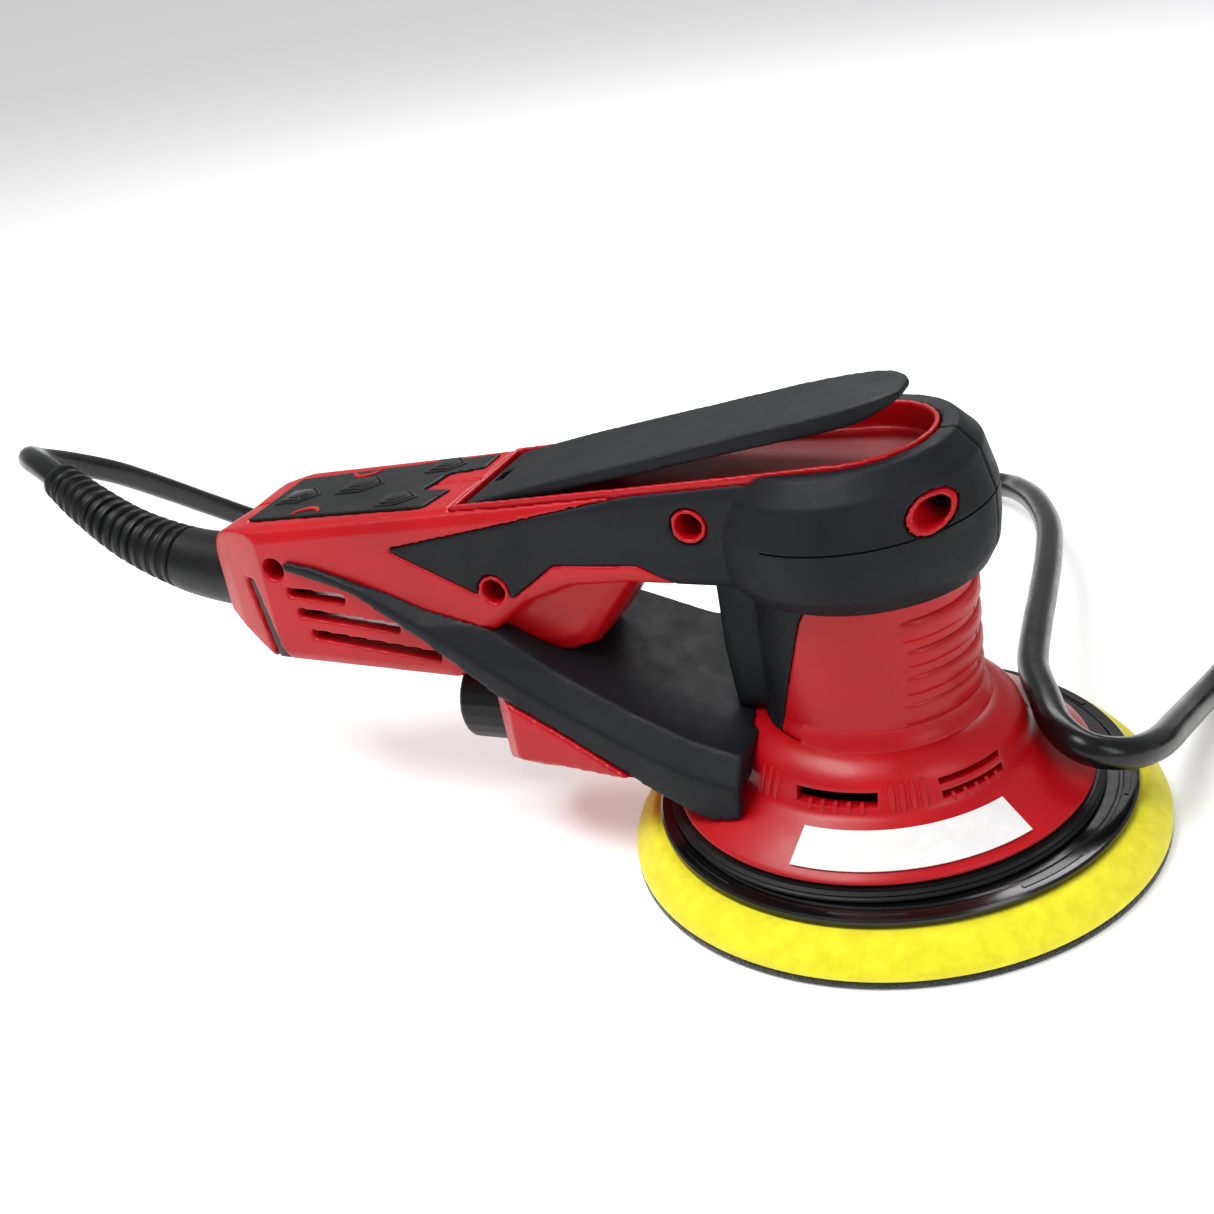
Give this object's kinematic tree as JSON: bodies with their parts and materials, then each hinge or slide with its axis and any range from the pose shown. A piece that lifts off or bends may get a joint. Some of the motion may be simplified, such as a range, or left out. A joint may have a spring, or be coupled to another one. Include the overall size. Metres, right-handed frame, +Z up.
{
  "type": "dual action polisher",
  "caption": "Corded random orbit machine with a yellow foam disc pad, red shells, black soft grips, a paddle switch on top and a dust duct under the handle.",
  "frame": {"origin": "on the motor axis, at the working face of the pad", "axes": "+Z up along the motor axis away from the pad, +X towards the nose, so the tail and the cord lie towards -X"},
  "size_m": [0.6054, 0.319, 0.132],
  "materials": {
    "red_plastic": "satin",
    "soft_grip": "matte",
    "black_plastic": "satin",
    "gloss_black": "gloss",
    "yellow_foam": "matte",
    "hook_fabric": "matte",
    "black_rubber": "satin",
    "cord_rubber": "satin",
    "steel": "satin",
    "dark_steel": "satin",
    "aluminium": "satin",
    "copper": "satin",
    "brass": "satin",
    "circuit_board": "satin",
    "label_paper": "matte"
  },
  "bodies": {
    "housing": {"housing_right": "red_plastic", "housing_left": "red_plastic", "grip_right": "soft_grip", "grip_left": "soft_grip", "tail_bumper": "black_rubber", "recess_tray": "red_plastic", "paddle_pin": "steel", "microswitch": "black_plastic", "control_panel": "black_plastic", "screw_tail": "dark_steel", "screw_handle": "dark_steel", "screw_head_rear": "dark_steel", "screw_head_nose": "dark_steel", "base_housing": "red_plastic", "dust_skirt": "black_rubber", "label": "label_paper", "duct_cover": "soft_grip", "duct_shell": "red_plastic", "stator": "copper", "lower_bearing": "steel", "upper_bearing": "steel", "lower_bearing_plate": "aluminium", "upper_bearing_plate": "black_plastic", "controller_board": "circuit_board", "power_module": "aluminium", "cord_clamp": "black_plastic", "cord_boot": "black_rubber", "cord_tube": "cord_rubber", "cord_coil": "cord_rubber", "cord_tie": "hook_fabric", "plug_body": "cord_rubber", "plug_pin_1": "brass", "plug_pin_2": "brass"},
    "paddle": {"paddle": "soft_grip", "paddle_spring": "steel"},
    "power_button": {"power_button": "gloss_black"},
    "speed_button": {"speed_button": "black_plastic"},
    "plus_button": {"plus_button": "black_plastic"},
    "minus_button": {"minus_button": "black_plastic"},
    "dust_port": {"dust_port": "black_plastic"},
    "rotor": {"rotor_core": "steel", "motor_shaft": "steel", "fan": "black_plastic", "eccentric_hub": "steel", "counterweight": "brass"},
    "pad": {"hook_face": "hook_fabric", "foam_pad": "yellow_foam", "backing_plate": "gloss_black", "pad_spindle": "steel", "pad_bearing": "steel"}
  },
  "joints": [
    {"name": "paddle_press", "type": "hinge", "parent": "housing", "child": "paddle", "pos_m": [-0.103, 0, 0.1018], "axis": [0, 1, 0], "range_deg": [0, 6], "stiffness_Nm_per_rad": 1.2, "springref_deg": -14.32},
    {"name": "power_button_press", "type": "slide", "parent": "housing", "child": "power_button", "axis": [0.1122, 0, -0.9937], "range_m": [0, 0.0008], "stiffness_N_per_m": 700, "springref_m": -0.0004},
    {"name": "speed_button_press", "type": "slide", "parent": "housing", "child": "speed_button", "axis": [0.1122, 0, -0.9937], "range_m": [0, 0.0008], "stiffness_N_per_m": 700, "springref_m": -0.0004},
    {"name": "plus_button_press", "type": "slide", "parent": "housing", "child": "plus_button", "axis": [0.1122, 0, -0.9937], "range_m": [0, 0.0008], "stiffness_N_per_m": 700, "springref_m": -0.0004},
    {"name": "minus_button_press", "type": "slide", "parent": "housing", "child": "minus_button", "axis": [0.1122, 0, -0.9937], "range_m": [0, 0.0008], "stiffness_N_per_m": 700, "springref_m": -0.0004},
    {"name": "port_swivel", "type": "hinge", "parent": "housing", "child": "dust_port", "pos_m": [-0.125, 0, 0.0315], "axis": [1, 0, 0], "continuous": true},
    {"name": "motor_spin", "type": "hinge", "parent": "housing", "child": "rotor", "pos_m": [0, 0, 0.05], "axis": [0, 0, 1], "continuous": true},
    {"name": "pad_spin", "type": "hinge", "parent": "rotor", "child": "pad", "pos_m": [0.0025, 0, 0.02], "axis": [0, 0, 1], "continuous": true}
  ]
}
